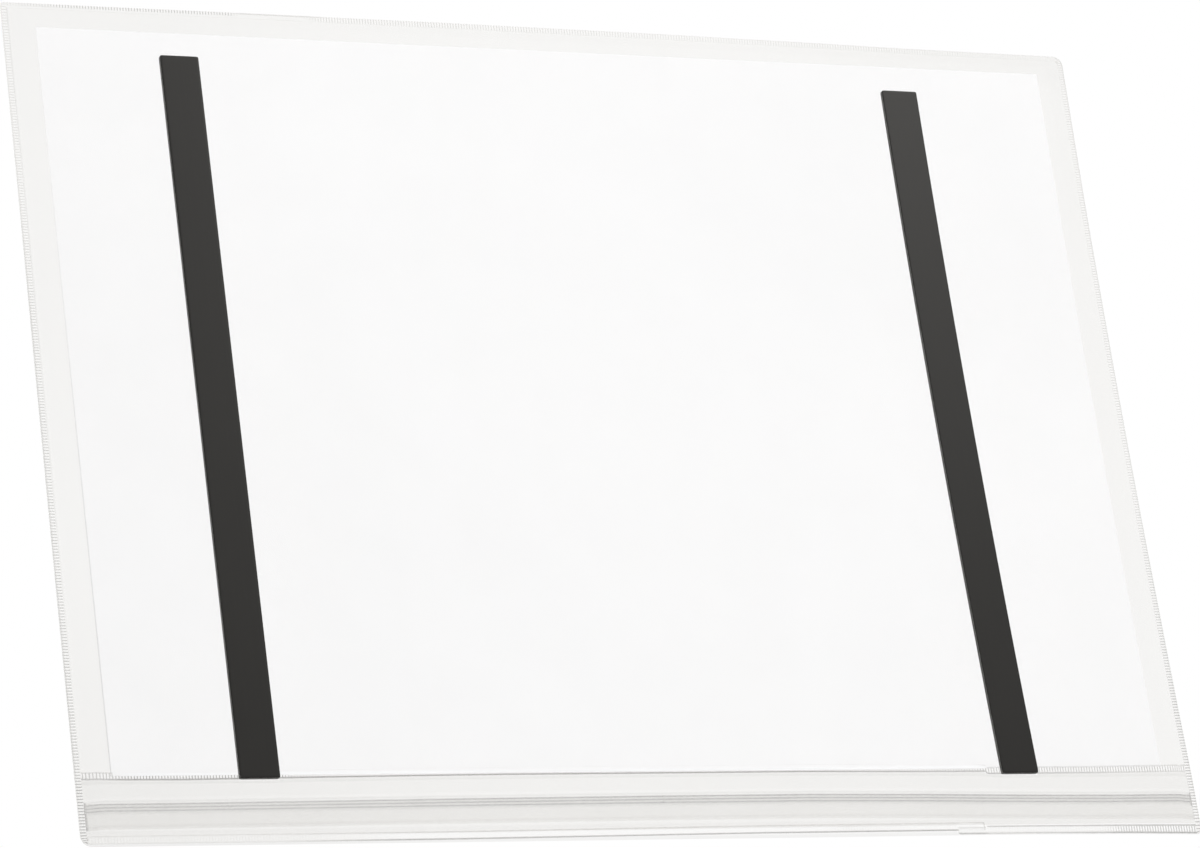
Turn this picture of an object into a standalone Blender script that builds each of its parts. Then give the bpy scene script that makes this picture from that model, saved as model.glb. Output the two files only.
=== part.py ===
"""Poster display pocket: two clear films welded round a sheet, a press-seal zip along the bottom of the back,
and two magnetic strips that hold it on a steel surface.

Metres, +Z up. The display side faces -Y. The origin lies on the plane of the strips' rear faces, behind the
middle of the pocket's outline. Left is -X, as seen from the display side.
"""

import math

import bmesh
import bpy
from mathutils import Matrix, Vector

# The sheet that the pocket is made for: A3, turned wide
SHEET_WIDTH = 0.420
SHEET_HEIGHT = 0.297
SHEET_THICK = 0.0002

# Clear film beyond the sheet, out to the pocket's edges
SIDE_MARGIN = 0.0127
TOP_MARGIN = 0.0097
ZIP_STRIP = 0.0259

# The pocket's corners, cut to unlike radii
CORNER_LEFT_BOTTOM = 0.002
CORNER_RIGHT_BOTTOM = 0.0042
CORNER_RIGHT_TOP = 0.0015
CORNER_LEFT_TOP = 0.0042
CORNER_STEPS = 8

# Films and their welds
FILM_THICK = 0.0003
WELD_WIDTH = 0.0023
BOTTOM_WELD_WIDTH = 0.0026
EDGE_LIP = 0.0012  # front film left over below the bottom weld
SEAM_WIDTH = 0.0024
SEAM_DROP = 0.0017  # from the sheet's lower edge to the zip seam's lower edge
SEAM_THICK = 0.00045

# The zip: a flap that hangs from the seam, and a lower tape on the front film
TAPE_THICK = 0.0003
LIP_RISE = 0.0062  # from the pocket's lower edge up to the flap's free edge
PROFILE_DROP = 0.0087  # from the zip seam down to the middle of the flap's first ridge
RIDGE_PITCH = 0.0012
RIDGE_HEIGHT = 0.0004
RIDGE_BASE = 0.0008
RIDGE_TIP = 0.0004
FLAP_RIDGES = 3
LOWER_TAPE_LEAD = 0.0014  # lower tape above the middle of its first ridge

# The magnetic strips and their adhesive
STRIP_WIDTH = 0.0152
STRIP_THICK = 0.0018
STRIP_EDGE_ROUND = 0.0002
STRIP_TOP_MARGIN = 0.0212  # from the pocket's top edge to the strips' upper ends
STRIP_END_SETBACK = 0.0002  # the strips' lower ends stop this far above the zip seam's lower edge
LEFT_STRIP_INSET = 0.0767  # from the pocket's side edge to the strip's middle
RIGHT_STRIP_INSET = 0.0669
ADHESIVE_THICK = 0.0002
ADHESIVE_INSET = 0.0004  # adhesive ends inside the strip's outline

# Clearances of the moving pieces
SLIDE_GAP = 0.0003  # sheet to the nearest ridge, on each side
HINGE_GAP = 0.0003  # zip seam to the flap's upper edge
FLAP_END_GAP = 0.0005  # flap to each side weld

# How far a cutter reaches past what it cuts
CUTTER_OVERRUN = 0.002

# The pocket's outline, from the sheet outwards
HALF_WIDTH = SHEET_WIDTH / 2 + SIDE_MARGIN
HEIGHT = ZIP_STRIP + SHEET_HEIGHT + TOP_MARGIN
TOP = HEIGHT / 2
BOTTOM = -HEIGHT / 2
INNER_HALF_WIDTH = HALF_WIDTH - WELD_WIDTH
SHEET_BOTTOM = BOTTOM + ZIP_STRIP
SEAM_BOTTOM = SHEET_BOTTOM - SEAM_DROP
SEAM_TOP = SEAM_BOTTOM + SEAM_WIDTH
FLAP_TOP = SEAM_BOTTOM - HINGE_GAP
FLAP_BOTTOM = BOTTOM + LIP_RISE
WELD_BOTTOM = BOTTOM + EDGE_LIP
WELD_TOP = WELD_BOTTOM + BOTTOM_WELD_WIDTH

# The layers, from the wall plane at 0 to the front
BACK_FILM_BACK = -(STRIP_THICK + ADHESIVE_THICK)
BACK_FILM_FRONT = BACK_FILM_BACK - FILM_THICK
FLAP_FRONT = BACK_FILM_BACK - TAPE_THICK
SHEET_BACK = min(BACK_FILM_FRONT, FLAP_FRONT - RIDGE_HEIGHT, BACK_FILM_BACK - SEAM_THICK) - SLIDE_GAP
SHEET_FRONT = SHEET_BACK - SHEET_THICK
LOWER_TAPE_BACK = SHEET_FRONT - SLIDE_GAP - RIDGE_HEIGHT
FRONT_FILM_BACK = LOWER_TAPE_BACK - TAPE_THICK
FRONT_FILM_FRONT = FRONT_FILM_BACK - FILM_THICK

# Axis changes that stand a flat outline up: as a plate that faces Y, or as a bar along X
PLATE_AXES = Matrix(((1, 0, 0, 0), (0, 0, -1, 0), (0, 1, 0, 0), (0, 0, 0, 1)))
BAR_AXES = Matrix(((0, 0, 1, 0), (1, 0, 0, 0), (0, 1, 0, 0), (0, 0, 0, 1)))


def clear_scene():
    for old in list(bpy.data.objects):
        bpy.data.objects.remove(old, do_unlink=True)


def new_collection(name):
    made = bpy.data.collections.new(name)
    bpy.context.scene.collection.children.link(made)
    return made


def new_material(name, colour, roughness, alpha=1.0):
    made = bpy.data.materials.new(name)
    made.use_nodes = True
    shader = made.node_tree.nodes["Principled BSDF"]
    shader.inputs["Base Color"].default_value = (*colour, 1.0)
    shader.inputs["Roughness"].default_value = roughness
    shader.inputs["Metallic"].default_value = 0.0
    shader.inputs["Alpha"].default_value = alpha
    return made


def add_part(name, mesh, pivot, material):
    """A named part from a mesh in world coordinates, with its origin at pivot."""
    mesh.transform(Matrix.Translation(-pivot))
    mesh.materials.clear()
    mesh.materials.append(material)
    part = bpy.data.objects.new(name, mesh)
    part.location = pivot
    part.parent = FRAME
    PARTS.objects.link(part)
    return part


def box_mesh(name, low, high):
    """A box between two corners."""
    shape = bmesh.new()
    bmesh.ops.create_cube(shape, size=1.0)
    for corner in shape.verts:
        corner.co = Vector(high[i] if corner.co[i] > 0 else low[i] for i in range(3))
    mesh = bpy.data.meshes.new(name)
    shape.to_mesh(mesh)
    shape.free()
    return mesh


def extruded_mesh(name, outline, thick, axes, offset):
    """A flat outline, filled, given its thickness, stood up by axes and moved by offset."""
    curve = bpy.data.curves.new(name, "CURVE")
    curve.dimensions = "2D"
    curve.fill_mode = "BOTH"
    curve.extrude = thick / 2
    spline = curve.splines.new("POLY")
    spline.points.add(len(outline) - 1)
    for point, (across, up) in zip(spline.points, outline):
        point.co = (across, up, 0.0, 1.0)
    spline.use_cyclic_u = True
    drawn = bpy.data.objects.new(name, curve)
    PARTS.objects.link(drawn)
    bpy.context.view_layer.update()
    graph = bpy.context.evaluated_depsgraph_get()
    mesh = bpy.data.meshes.new_from_object(drawn.evaluated_get(graph))
    bpy.data.objects.remove(drawn)
    bpy.data.curves.remove(curve)
    shape = bmesh.new()
    shape.from_mesh(mesh)
    bmesh.ops.remove_doubles(shape, verts=shape.verts, dist=1e-6)
    bmesh.ops.recalc_face_normals(shape, faces=shape.faces)
    shape.to_mesh(mesh)
    shape.free()
    mesh.transform(axes)
    mesh.transform(Matrix.Translation(offset))
    return mesh


def pocket_outline():
    """The pocket's outer edge, anticlockwise from the left bottom corner, with its round corners."""
    corners = (
        (-HALF_WIDTH, BOTTOM, CORNER_LEFT_BOTTOM),
        (HALF_WIDTH, BOTTOM, CORNER_RIGHT_BOTTOM),
        (HALF_WIDTH, TOP, CORNER_RIGHT_TOP),
        (-HALF_WIDTH, TOP, CORNER_LEFT_TOP),
    )
    points = []
    for quarter, (x, z, radius) in enumerate(corners):
        centre_x = x - math.copysign(radius, x)
        centre_z = z - math.copysign(radius, z)
        for step in range(CORNER_STEPS + 1):
            angle = math.pi + (quarter + step / CORNER_STEPS) * math.pi / 2
            points.append((centre_x + radius * math.cos(angle), centre_z + radius * math.sin(angle)))
    return points


def outline_plate(name, back, front):
    """A plate of the pocket's whole outline between two depths."""
    middle = Vector((0.0, (back + front) / 2, 0.0))
    return extruded_mesh(name, pocket_outline(), back - front, PLATE_AXES, middle)


def weld_band(name, low_x, high_x, low_z, high_z, back, front):
    """The part of the pocket's outline that lies in a band, as one fused strip of film."""
    low = (low_x, front - CUTTER_OVERRUN, low_z)
    high = (high_x, back + CUTTER_OVERRUN, high_z)
    cutter = bpy.data.objects.new(name + "_cutter", box_mesh(name + "_cutter", low, high))
    cutter.display_type = "WIRE"
    cutter.hide_render = True
    CUTTERS.objects.link(cutter)
    origin = Vector(((low_x + high_x) / 2, (back + front) / 2, (low_z + high_z) / 2))
    band = add_part(name, outline_plate(name, back, front), origin, WELDED_FILM)
    cut = band.modifiers.new("band", "BOOLEAN")
    cut.operation = "INTERSECT"
    cut.solver = "EXACT"
    cut.object = cutter
    return band


def ridged_outline(bottom, top, web_front, web_back, ridges, side):
    """Cross-section of a zip tape, depth against height, with ridges on its front (-1) or back (+1) face."""
    plain, ridged = (web_front, web_back) if side > 0 else (web_back, web_front)
    points = [(plain, top), (plain, bottom), (ridged, bottom)]
    for height in sorted(ridges):
        tip = ridged + side * RIDGE_HEIGHT
        points.append((ridged, height - RIDGE_BASE / 2))
        points.append((tip, height - RIDGE_TIP / 2))
        points.append((tip, height + RIDGE_TIP / 2))
        points.append((ridged, height + RIDGE_BASE / 2))
    points.append((ridged, top))
    return points


def make_films():
    front = outline_plate("front_film", FRONT_FILM_BACK, FRONT_FILM_FRONT)
    middle = (FRONT_FILM_BACK + FRONT_FILM_FRONT) / 2
    add_part("front_film", front, Vector((0.0, middle, 0.0)), CLEAR_FILM)
    low = (-INNER_HALF_WIDTH, BACK_FILM_FRONT, SEAM_TOP)
    high = (INNER_HALF_WIDTH, BACK_FILM_BACK, TOP - WELD_WIDTH)
    middle = (BACK_FILM_BACK + BACK_FILM_FRONT) / 2
    add_part("back_film", box_mesh("back_film", low, high), Vector((0.0, middle, 0.0)), CLEAR_FILM)


def make_welds():
    over = CUTTER_OVERRUN
    edge = HALF_WIDTH + over
    inner = INNER_HALF_WIDTH
    weld_band("left_weld", -edge, -inner, BOTTOM - over, TOP + over, BACK_FILM_BACK, FRONT_FILM_BACK)
    weld_band("right_weld", inner, edge, BOTTOM - over, TOP + over, BACK_FILM_BACK, FRONT_FILM_BACK)
    weld_band("top_weld", -inner, inner, TOP - WELD_WIDTH, TOP + over, BACK_FILM_BACK, FRONT_FILM_BACK)
    weld_band("bottom_weld", -inner, inner, WELD_BOTTOM, WELD_TOP, LOWER_TAPE_BACK, FRONT_FILM_BACK)
    low = (-inner, BACK_FILM_BACK - SEAM_THICK, SEAM_BOTTOM)
    high = (inner, BACK_FILM_BACK, SEAM_TOP)
    origin = Vector((0.0, BACK_FILM_BACK, SEAM_BOTTOM))
    add_part("zip_seam", box_mesh("zip_seam", low, high), origin, WELDED_FILM)


def make_zip():
    """The flap's ridges and the lower tape's lie half a pitch apart, so that they mesh when pressed together."""
    first = SEAM_BOTTOM - PROFILE_DROP
    flap_ridges = [first - count * RIDGE_PITCH for count in range(FLAP_RIDGES)]
    tape_ridges = [height - RIDGE_PITCH / 2 for height in flap_ridges[:-1]]
    nowhere = Vector((0.0, 0.0, 0.0))

    outline = ridged_outline(FLAP_BOTTOM, FLAP_TOP, FLAP_FRONT, BACK_FILM_BACK, flap_ridges, -1)
    length = 2 * (INNER_HALF_WIDTH - FLAP_END_GAP)
    flap = extruded_mesh("zip_upper_tape", outline, length, BAR_AXES, nowhere)
    hinge = Vector((0.0, BACK_FILM_BACK, SEAM_BOTTOM - HINGE_GAP / 2))
    add_part("zip_upper_tape", flap, hinge, ZIP_TAPE)

    top = tape_ridges[0] + LOWER_TAPE_LEAD
    outline = ridged_outline(WELD_TOP, top, FRONT_FILM_BACK, LOWER_TAPE_BACK, tape_ridges, 1)
    tape = extruded_mesh("zip_lower_tape", outline, 2 * INNER_HALF_WIDTH, BAR_AXES, nowhere)
    add_part("zip_lower_tape", tape, Vector((0.0, FRONT_FILM_BACK, WELD_TOP)), ZIP_TAPE)


def make_sheet():
    low = (-SHEET_WIDTH / 2, SHEET_FRONT, SHEET_BOTTOM)
    high = (SHEET_WIDTH / 2, SHEET_BACK, SHEET_BOTTOM + SHEET_HEIGHT)
    origin = Vector((0.0, (SHEET_FRONT + SHEET_BACK) / 2, SHEET_BOTTOM))
    add_part("insert_sheet", box_mesh("insert_sheet", low, high), origin, PAPER)


def make_strip(side, middle_x):
    """A magnetic strip with its rear face on the wall plane, and the adhesive that holds it on the back film."""
    low = Vector((middle_x - STRIP_WIDTH / 2, -STRIP_THICK, SEAM_BOTTOM + STRIP_END_SETBACK))
    high = Vector((middle_x + STRIP_WIDTH / 2, 0.0, TOP - STRIP_TOP_MARGIN))
    origin = Vector((middle_x, 0.0, (low.z + high.z) / 2))
    strip = add_part("magnet_strip_" + side, box_mesh("magnet_strip_" + side, low, high), origin, MAGNET)
    rounding = strip.modifiers.new("edges", "BEVEL")
    rounding.width = STRIP_EDGE_ROUND
    rounding.segments = 2
    inset = Vector((ADHESIVE_INSET, 0.0, ADHESIVE_INSET))
    low = Vector((low.x, BACK_FILM_BACK, low.z)) + inset
    high = Vector((high.x, -STRIP_THICK, high.z)) - inset
    add_part("adhesive_" + side, box_mesh("adhesive_" + side, low, high), origin, ADHESIVE)


clear_scene()
PARTS = new_collection("poster_display_pocket")
CUTTERS = new_collection("cutters")
FRAME = bpy.data.objects.new("wall_plane", None)
PARTS.objects.link(FRAME)
CLEAR_FILM = new_material("clear_film", (0.90, 0.90, 0.89), 0.15, 0.35)
WELDED_FILM = new_material("welded_film", (0.84, 0.84, 0.83), 0.3, 0.6)
ZIP_TAPE = new_material("zip_tape", (0.82, 0.82, 0.81), 0.2, 0.5)
PAPER = new_material("paper", (0.96, 0.96, 0.96), 0.8)
MAGNET = new_material("magnet", (0.045, 0.045, 0.043), 0.5)
ADHESIVE = new_material("adhesive", (0.78, 0.76, 0.70), 0.6)
make_films()
make_welds()
make_zip()
make_sheet()
make_strip("left", -HALF_WIDTH + LEFT_STRIP_INSET)
make_strip("right", HALF_WIDTH - RIGHT_STRIP_INSET)
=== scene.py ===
import math

import bpy
import numpy as np
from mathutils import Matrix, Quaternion, Vector


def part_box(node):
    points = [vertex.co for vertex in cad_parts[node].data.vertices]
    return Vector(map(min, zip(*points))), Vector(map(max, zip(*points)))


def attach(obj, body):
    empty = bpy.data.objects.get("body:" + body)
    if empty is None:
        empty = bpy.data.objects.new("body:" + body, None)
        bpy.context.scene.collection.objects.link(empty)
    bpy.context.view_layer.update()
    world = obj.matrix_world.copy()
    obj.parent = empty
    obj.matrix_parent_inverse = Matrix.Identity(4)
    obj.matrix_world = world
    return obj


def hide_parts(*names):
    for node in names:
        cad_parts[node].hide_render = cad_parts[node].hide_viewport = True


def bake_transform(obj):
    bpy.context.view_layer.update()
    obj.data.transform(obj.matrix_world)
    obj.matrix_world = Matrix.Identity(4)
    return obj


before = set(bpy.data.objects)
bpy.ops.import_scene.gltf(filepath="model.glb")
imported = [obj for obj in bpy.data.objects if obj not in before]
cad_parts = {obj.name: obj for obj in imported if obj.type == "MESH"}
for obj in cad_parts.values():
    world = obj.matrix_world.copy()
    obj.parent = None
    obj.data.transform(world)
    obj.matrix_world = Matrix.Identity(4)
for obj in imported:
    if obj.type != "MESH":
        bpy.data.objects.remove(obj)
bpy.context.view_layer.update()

# The looks of a poster display pocket, seen from its back: two clear films welded round a sheet, a press-seal
# zip along the bottom, and two magnetic strips. Metres, +Z up, the display side towards -Y.

MM = 0.001

# Places that the frame gives
FRONT_LOW, FRONT_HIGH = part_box("front_film")
_, BACK_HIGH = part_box("back_film")
SHEET_LOW, SHEET_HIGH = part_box("insert_sheet")
FLAP_LOW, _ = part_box("zip_upper_tape")
TAPE_LOW, TAPE_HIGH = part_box("zip_lower_tape")
SEAM_LOW, SEAM_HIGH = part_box("zip_seam")
HEM_LOW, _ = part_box("bottom_weld")
HALF_WIDTH = FRONT_HIGH.x
INNER_HALF = BACK_HIGH.x
TOP = FRONT_HIGH.z
BOTTOM = FRONT_LOW.z
TOP_WELD_LOW = BACK_HIGH.z
FILM_THICK = FRONT_HIGH.y - FRONT_LOW.y
FILM_REAR = FRONT_HIGH.y
BACK_REAR = BACK_HIGH.y
SHEET_EDGE = SHEET_HIGH.x
SHEET_BOTTOM = SHEET_LOW.z

# The pocket's corners: side (+1 is +X), level (+1 is up) and radius
POCKET_CORNERS = (
    (-1, -1, 2.0 * MM),
    (1, -1, 4.2 * MM),
    (1, 1, 1.5 * MM),
    (-1, 1, 4.2 * MM),
)

# Films: how they are drawn down to a weld, and how level they lie
SHOULDER = 7.0 * MM  # the back film slopes down to a side weld over this width
TOP_SHOULDER = 4.5 * MM  # and to the top weld, clear of the sheet where it is pushed fully up
CONTACT_GAP = 0.02 * MM  # between layers that lie on each other
PINCHED_REAR = FILM_REAR + CONTACT_GAP + FILM_THICK  # rear face of a film that lies on the front film
RIPPLE_HEIGHT = 0.05 * MM  # slow waves over the films
RIPPLE_LENGTH = 95.0 * MM
RIPPLE_WANDER = (0.35, 210.0 * MM)  # how far the waves across wander, in waves, and over what height
RIPPLE_CLIMB = 0.8  # waves up the pocket for each wave across it
RIPPLE_CLIMB_WANDER = (0.25, 170.0 * MM)
RIPPLE_CLIMB_START = 0.3
PUCKER_HEIGHT = 0.10 * MM  # small waves that a weld leaves in the film beside it
PUCKER_LENGTH = 8.5 * MM
PUCKER_REACH = 4.0 * MM
RIM_WIDTH = 0.45 * MM  # cut edge of a film, which looks denser
RIM_SHADE = 0.1
SHARP_ANGLE = math.radians(40)  # edges bent by more than this stay sharp

# Knurled welds
RIB_PITCH = 1.13 * MM
RIB_STEPS = 8  # grid lines to a rib
RIB_HEIGHT = 0.13 * MM
HEM_RIB_HEIGHT = 0.078 * MM
WELD_THICK = 0.2 * MM
WELD_REAR = FILM_REAR + CONTACT_GAP + WELD_THICK
ZIP_WELD_EXTRA = 0.35 * MM  # the side welds are thicker where they hold the zip's ends
ZIP_WELD_RISE = 2.0 * MM
ZIP_WELD_TAPER = 0.6  # share of that extra which is lost towards the outer edge
BAND_ROWS = 9

# The zip seam and the bottom weld were each made in two strokes. Pairs are places along X and depths below
# the sheet's lower edge, in mm
SEAM_STEP_X = -134.0 * MM
SEAM_STEP_LENGTH = 1.2 * MM
SEAM_FIRST_DEPTH = (
    (-134, 1.75), (-107, 1.65), (-60, 1.2), (60, 1.2), (90, 1.3), (131, 1.58), (184, 2.05),
    (206, 1.85), (213, 1.75), (217, 1.35), (220, 1.0),
)
SEAM_FIRST_WIDTH = 3.0 * MM
SEAM_SECOND_DEPTH = (
    (-220, 1.85), (-217, 2.2), (-213, 2.45), (-206, 2.52), (-180, 2.74), (-134, 2.68),
)
SEAM_SECOND_WIDTH = 2.95 * MM
HEM_FIRST_DEPTH = ((-40, 21.1), (80, 21.85), (222, 22.0))
HEM_FIRST_WIDTH = 3.2 * MM
HEM_FIRST_END = -130.6 * MM
HEM_SECOND_DEPTH = ((-222, 22.5), (-120, 22.5))
HEM_SECOND_WIDTH = 3.2 * MM
HEM_SECOND_START = -119.0 * MM
HEM_END_ROUND = 1.0 * MM
LINE_WIDTH = 0.9 * MM  # dark line at a weld's border
SEAM_LINE_WIDTH = 0.95 * MM

# Zip tapes: heights of the ridges, from the frame's own tapes
TAPE_THICK = 0.3 * MM
RIDGE_PITCH = 1.2 * MM
RIDGE_BASE = 0.8 * MM
RIDGE_TIP = 0.4 * MM
FLAP_RIDGES = 3
FIRST_RIDGE = SEAM_LOW.z - 8.7 * MM
BEAD_HEIGHT = 0.1 * MM  # each ridge also stands out a little on the flap's outer face
RIDGE_STEP = 0.1 * MM
FLAP_HEIGHT = BACK_REAR - FLAP_LOW.y - TAPE_THICK
LOWER_HEIGHT = TAPE_HIGH.y - FILM_REAR - TAPE_THICK
ZIP_SAG = (
    (-222, 1.35), (-185, 1.3), (-150, 0.9), (-110, 0.2), (-60, -0.4), (0, -0.4), (80, -0.15),
    (190, 0.4),
)
FLAP_TOP = SHEET_BOTTOM - 1.25 * MM

# The sheet's slight cockle, along X only, so that it slides true
COCKLE_HEIGHT = 0.06 * MM
COCKLE_LENGTH = 140.0 * MM
COCKLE_START = 0.2  # in waves

# Magnetic strips
STRIP_ROUND = 0.3 * MM
STRIP_ROUND_LINES = 6
STRIP_CUT = 0.01 * MM  # rim of a strip that takes the colour of its cut sides
STRIP_CORNER = 0.7 * MM
STRIP_BOW = {"left": 1.45 * MM, "right": 0.0}  # sideways bow at mid-length, as stuck on
STRIP_LEAN = {"left": 1.5 * MM, "right": 0.13 * MM}  # sideways lean of its upper end, as stuck on
STRIP_SHIFT = {"left": -0.35 * MM, "right": -0.2 * MM}
STRIP_TOP_EXTRA = {"left": -0.4 * MM, "right": 0.65 * MM}  # how far its ends pass the frame's strip
STRIP_LOW_EXTRA = {"left": 1.45 * MM, "right": 0.6 * MM}
NOTCH_GAP = 0.15 * MM  # the flap's film is cut clear of the strips' ends by this

# How the soft pocket lies: its left side is drawn in at mid-height and spread at its ends, and its other
# edges stand a little off their straight lines. Pairs are places and offsets outwards, in mm
DRAW_IN = 1.2 * MM
DRAW_OUT = 0.45 * MM
DRAW_MIDDLE = (SEAM_LOW.z + TOP) / 2
DRAW_REACH = (TOP - SEAM_LOW.z) / 2
DRAW_FADE = (60.0 * MM, 160.0 * MM)  # where along X it starts, and over what length
TOP_SPREAD = (
    (-222, -0.7), (-150, -0.3), (-100, 0.35), (-40, 0.85), (40, 1.1), (110, 1.05), (222, 0.75),
)
BOTTOM_SPREAD = ((-222, 1.2), (-190, 0.6), (-150, 0.2), (0, 0.1), (222, -0.2))
RIGHT_SPREAD = ((-166, 0.45), (-40, 0.4), (60, 0.1), (166, 0.0))
SPREAD_REACH = 14.0 * MM

# Camera, fitted to the sheet's four corners
CAMERA_PLACE = Vector((0.7304, 1.6534, -0.7077))
CAMERA_AIM = Vector((0.0040, -0.0020, -0.0017))
CAMERA_ROLL = -8.03
CAMERA_LENS = 153.57
SENSOR_WIDTH = 36.0

# Stage and light
FLOOR_LEVEL = -0.8
FLOOR_SIZE = 40.0
FLOOR_FADE = (1.5, 4.5)  # distances over which it turns white
AMBIENT = 0.735
KEY_PLACE = Vector((-1.09, 1.79, 1.5))
KEY_SIZE = 1.06
KEY_POWER = 27.5
FILL_PLACE = Vector((0.8, -2.0, 1.2))
FILL_SIZE = 1.6
FILL_POWER = 16.0


# Shared formulas


def smooth(share):
    """0 to 1 with level ends."""
    share = np.clip(share, 0.0, 1.0)
    return share * share * (3.0 - 2.0 * share)


def between(share, low, high):
    return low + (high - low) * share


def bump(distance, half_width):
    """1 at distance 0, falling to 0 at half_width."""
    return smooth(1.0 - np.abs(distance) / half_width)


def along(position, points):
    """A value that changes along a weld: points are pairs of place in mm and value."""
    places, values = zip(*points)
    return np.interp(position / MM, places, values)


def graded(low, high, coarse, fine, border):
    """Grid lines from low to high, close together within a border at each end."""
    ends = np.arange(0.0, border, fine)
    count = max(2, round((high - low - 2 * border) / coarse) + 1)
    return np.concatenate([low + ends, np.linspace(low + border, high - border, count), high - ends[::-1]])


def rib_lines(low, high):
    """Grid lines along a knurled weld, RIB_STEPS to each rib."""
    return np.linspace(low, high, round((high - low) / RIB_PITCH * RIB_STEPS) + 1)


def round_corners(x, z, low, high, corners):
    """Moves the points of a rectangle so that its corners become round."""
    for side, level, radius in corners:
        centre_x = (high[0] if side > 0 else low[0]) - side * radius
        centre_z = (high[1] if level > 0 else low[1]) - level * radius
        out_x = np.maximum(side * (x - centre_x), 0.0)
        out_z = np.maximum(level * (z - centre_z), 0.0)
        reach = np.hypot(out_x, out_z)
        corner = (out_x > 0.0) & (out_z > 0.0)
        shrink = np.where(corner, np.maximum(out_x, out_z) / np.where(corner, reach, 1.0), 1.0)
        x = np.where(corner, centre_x + side * out_x * shrink, x)
        z = np.where(corner, centre_z + level * out_z * shrink, z)
    return x, z


def mid_height(z):
    """1 at mid-height, 0 at the zip seam and the top."""
    return np.clip(1.0 - ((z - DRAW_MIDDLE) / DRAW_REACH) ** 2, 0.0, 1.0)


def left_share(x):
    start, length = DRAW_FADE
    return smooth((start - x) / length)


def drawn_in(x, z):
    """Moves the left side in a little at mid-height."""
    return x + DRAW_IN * left_share(x) * mid_height(z), z


def as_laid(x, z):
    """Moves the pocket's edges off their straight lines, as the soft film lies."""
    left = (DRAW_IN * mid_height(z) - DRAW_OUT * (1.0 - mid_height(z))) * left_share(x)
    right = along(z, RIGHT_SPREAD) * MM * smooth((x - HALF_WIDTH) / SPREAD_REACH + 1.0)
    upper = along(x, TOP_SPREAD) * MM * smooth((z - TOP) / SPREAD_REACH + 1.0)
    lower = along(x, BOTTOM_SPREAD) * MM * smooth((BOTTOM - z) / (SPREAD_REACH / 2) + 1.0)
    return x + left + right, z + upper - lower


def pocket_outline(x, z):
    """Rounds the pocket's corners, then moves its edges as the film lies."""
    return as_laid(*round_corners(x, z, (-HALF_WIDTH, BOTTOM), (HALF_WIDTH, TOP), POCKET_CORNERS))


def side_lift(x):
    """0 at the side welds, 1 past their shoulders."""
    return smooth((INNER_HALF - np.abs(x)) / SHOULDER)


def top_lift(z):
    return smooth((TOP_WELD_LOW - z) / TOP_SHOULDER)


def ripple(x, z):
    """The films' slow unevenness: waves across and up the pocket, which wander a little."""
    reach, length = RIPPLE_WANDER
    across = np.sin(math.tau * (x / RIPPLE_LENGTH + reach * np.sin(math.tau * z / length)))
    reach, length = RIPPLE_CLIMB_WANDER
    climb = z / RIPPLE_LENGTH * RIPPLE_CLIMB + RIPPLE_CLIMB_START
    up = np.sin(math.tau * (climb + reach * np.sin(math.tau * x / length)))
    return RIPPLE_HEIGHT / 2 * (across + up)


def on_front_film(x, z):
    """The front face of what lies on the front film."""
    return FILM_REAR + CONTACT_GAP + ripple(x, z)


def pucker(x, z):
    """Small waves square to the side and top welds, which die away from them."""
    side = np.exp(-(INNER_HALF - np.abs(x)) / PUCKER_REACH) * np.sin(math.tau * z / PUCKER_LENGTH)
    top = np.exp(-(TOP_WELD_LOW - z) / PUCKER_REACH) * np.sin(math.tau * x / PUCKER_LENGTH)
    return PUCKER_HEIGHT * (side * side_lift(x) + top * top_lift(z))


def second_stroke(x):
    """0 along the zip seam's first stroke, 1 along its second."""
    return smooth((SEAM_STEP_X - x) / SEAM_STEP_LENGTH + 0.5)


def seam_low(x):
    """The zip seam's lower edge, which steps down where its second stroke starts."""
    depth = between(second_stroke(x), along(x, SEAM_FIRST_DEPTH), along(x, SEAM_SECOND_DEPTH))
    return SHEET_BOTTOM - MM * depth


def seam_high(x):
    return seam_low(x) + between(second_stroke(x), SEAM_FIRST_WIDTH, SEAM_SECOND_WIDTH)


def ridge(z, middles):
    """Cross-section of the zip's ridges: 1 on a ridge's tip, 0 beside it."""
    run = (RIDGE_BASE - RIDGE_TIP) / 2
    return sum(smooth((RIDGE_BASE / 2 - np.abs(z - middle)) / run) for middle in middles)


FLAP_MIDDLES = [FIRST_RIDGE - count * RIDGE_PITCH for count in range(FLAP_RIDGES)]
LOWER_MIDDLES = [middle - RIDGE_PITCH / 2 for middle in FLAP_MIDDLES[:-1]]


# Building pieces


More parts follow.
